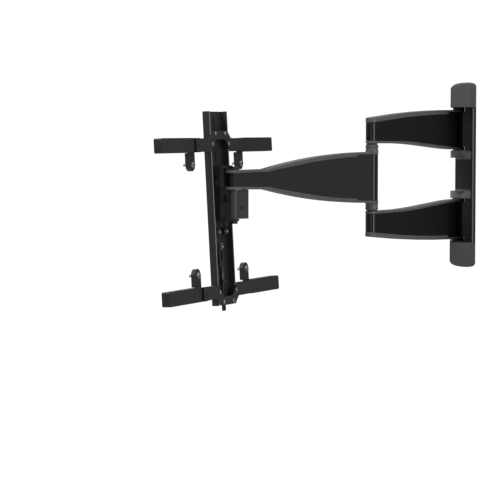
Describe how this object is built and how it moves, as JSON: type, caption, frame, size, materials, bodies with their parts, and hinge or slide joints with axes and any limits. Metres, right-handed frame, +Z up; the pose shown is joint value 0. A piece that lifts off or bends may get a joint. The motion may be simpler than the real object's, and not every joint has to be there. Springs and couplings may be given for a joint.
{
  "type": "full motion tv wall mount",
  "caption": "Full-motion wall mount: wall plate, a pair of arms, a forearm and a panning, tilting bracket with sliding extender arms for a screen.",
  "frame": {"origin": "centre of the wall plate's back face, on the wall, at the height of the arms' mid-plane", "axes": "+Y into the wall, -Y into the room, +Z up, +X to the right for a viewer who faces the wall"},
  "size_m": [0.7902, 0.5624, 0.4303],
  "materials": {
    "plate_steel": "warm grey paint, matte",
    "grey_cover": "satin grey moulded",
    "grey_rail": "satin grey paint",
    "arm_panel": "fine matte texture",
    "forearm_panel": "fine matte texture, warm dark grey",
    "gloss_black": "gloss",
    "black_steel": "black powder coat",
    "charcoal_steel": "charcoal powder coat",
    "black_plastic": "satin moulded",
    "zinc_steel": "zinc plated"
  },
  "bodies": {
    "wall_side": {"wall_plate": "plate_steel", "hinge_block": "grey_cover", "hinge_infill": "black_steel", "wall_upper_cover": "grey_cover", "wall_lower_cover": "grey_cover", "upper_hinge_lug": "black_steel", "lower_hinge_lug": "black_steel", "lag_bolt_1": "zinc_steel", "lag_bolt_2": "zinc_steel", "lag_bolt_3": "zinc_steel", "lag_bolt_4": "zinc_steel", "upper_shoulder_pin": "black_steel", "lower_shoulder_pin": "black_steel"},
    "arms": {"upper_arm_outer_rail": "grey_rail", "upper_arm_inner_rail": "grey_rail", "upper_arm_near_panel": "arm_panel", "upper_arm_far_panel": "arm_panel", "upper_arm_core": "black_steel", "upper_arm_elbow_cap": "gloss_black", "lower_arm_outer_rail": "grey_rail", "lower_arm_inner_rail": "grey_rail", "lower_arm_near_panel": "arm_panel", "lower_arm_far_panel": "arm_panel", "lower_arm_core": "black_steel", "lower_arm_elbow_cap": "gloss_black"},
    "forearm": {"forearm_upper_rail": "grey_rail", "forearm_lower_rail": "grey_rail", "forearm_near_panel": "forearm_panel", "forearm_far_panel": "forearm_panel", "forearm_core": "black_steel", "forearm_elbow_cap": "gloss_black", "elbow_shaft": "zinc_steel", "upper_elbow_collar": "grey_rail", "lower_elbow_collar": "grey_rail", "pan_barrel": "grey_rail"},
    "pan_head": {"pan_shaft": "black_steel", "tilt_bracket": "charcoal_steel", "tilt_axle": "black_steel"},
    "tilt_head": {"tilt_carriage": "charcoal_steel"},
    "screen_bracket": {"head_column": "charcoal_steel", "bridge_plate": "charcoal_steel", "upper_cross_plate": "charcoal_steel", "lower_cross_plate": "charcoal_steel", "latch_spring": "zinc_steel"},
    "latch": {"latch_slider": "charcoal_steel", "pull_tab": "black_plastic"},
    "level_near": {"level_screw_near": "black_steel"},
    "level_far": {"level_screw_far": "black_steel"},
    "upper_near_extender": {"upper_near_slide": "charcoal_steel", "upper_near_slide_cover": "black_plastic", "upper_near_vesa_screw": "zinc_steel"},
    "upper_far_extender": {"upper_far_slide": "charcoal_steel", "upper_far_slide_cover": "black_plastic", "upper_far_vesa_screw": "zinc_steel"},
    "lower_near_extender": {"lower_near_slide": "charcoal_steel", "lower_near_slide_cover": "black_plastic", "lower_near_vesa_screw": "zinc_steel"},
    "lower_far_extender": {"lower_far_slide": "charcoal_steel", "lower_far_slide_cover": "black_plastic", "lower_far_vesa_screw": "zinc_steel"}
  },
  "joints": [
    {"name": "shoulder_swing", "type": "hinge", "parent": "wall_side", "child": "arms", "pos_m": [0, -0.036, 0], "axis": [0, 0, 1], "range_deg": [-149, 29]},
    {"name": "elbow_swing", "type": "hinge", "parent": "arms", "child": "forearm", "pos_m": [0.28579, -0.201, 0], "axis": [0, 0, -1], "range_deg": [-149, 100]},
    {"name": "head_pan", "type": "hinge", "parent": "forearm", "child": "pan_head", "pos_m": [0.5043, -0.44427, 0], "axis": [0, 0, 1], "range_deg": [-13, 136]},
    {"name": "head_tilt", "type": "hinge", "parent": "pan_head", "child": "tilt_head", "pos_m": [0.49535, -0.46975, -0.006], "axis": [0.9435, -0.3313, 0], "range_deg": [-8, 9]},
    {"name": "screen_level", "type": "hinge", "parent": "tilt_head", "child": "screen_bracket", "pos_m": [0.49248, -0.47792, 0.00553], "axis": [0.3308, 0.942, 0.0558], "range_deg": [-3, 3]},
    {"name": "upper_near_extend", "type": "slide", "parent": "screen_bracket", "child": "upper_near_extender", "axis": [0.9435, -0.3313, 0], "range_m": [0, 0.04]},
    {"name": "upper_far_extend", "type": "slide", "parent": "screen_bracket", "child": "upper_far_extender", "axis": [-0.9435, 0.3313, 0], "range_m": [0, 0.04]},
    {"name": "lower_near_extend", "type": "slide", "parent": "screen_bracket", "child": "lower_near_extender", "axis": [0.9435, -0.3313, 0], "range_m": [0, 0.04]},
    {"name": "lower_far_extend", "type": "slide", "parent": "screen_bracket", "child": "lower_far_extender", "axis": [-0.9435, 0.3313, 0], "range_m": [0, 0.04]},
    {"name": "latch_pull", "type": "slide", "parent": "screen_bracket", "child": "latch", "axis": [0.0185, 0.0527, -0.9984], "range_m": [0, 0.012], "stiffness_N_per_m": 250, "springref_m": -0.008, "deforming": ["latch_spring"]},
    {"name": "level_screw_near_turn", "type": "hinge", "parent": "screen_bracket", "child": "level_near", "pos_m": [0.50918, -0.47563, -0.0962], "axis": [0.3308, 0.942, 0.0558], "continuous": true},
    {"name": "level_screw_far_turn", "type": "hinge", "parent": "screen_bracket", "child": "level_far", "pos_m": [0.48088, -0.46569, -0.0962], "axis": [0.3308, 0.942, 0.0558], "continuous": true}
  ]
}
